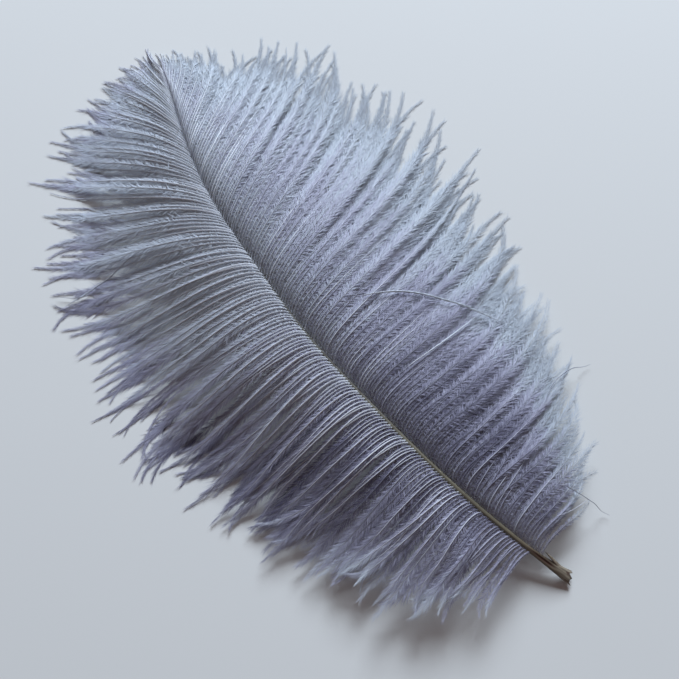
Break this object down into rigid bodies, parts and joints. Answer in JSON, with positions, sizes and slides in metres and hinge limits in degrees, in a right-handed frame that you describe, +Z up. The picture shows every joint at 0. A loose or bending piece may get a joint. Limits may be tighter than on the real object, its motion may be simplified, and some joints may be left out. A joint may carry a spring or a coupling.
{
  "type": "ostrich feather",
  "caption": "Dyed ostrich plume lying on its edges: a curved shaft with a bare quill end and a broad, soft vane of locks on each side.",
  "frame": {"origin": "middle of the feather's box, on the surface it lies on", "axes": "+Y from the quill's cut end to the tip, +X over the longer right vane, +Z up out of the surface, the feather's upper side"},
  "size_m": [0.1214, 0.1884, 0.0133],
  "materials": {
    "plume": "matte",
    "quill": "satin"
  },
  "bodies": {
    "root": {"feather": "plume"}
  },
  "joints": []
}
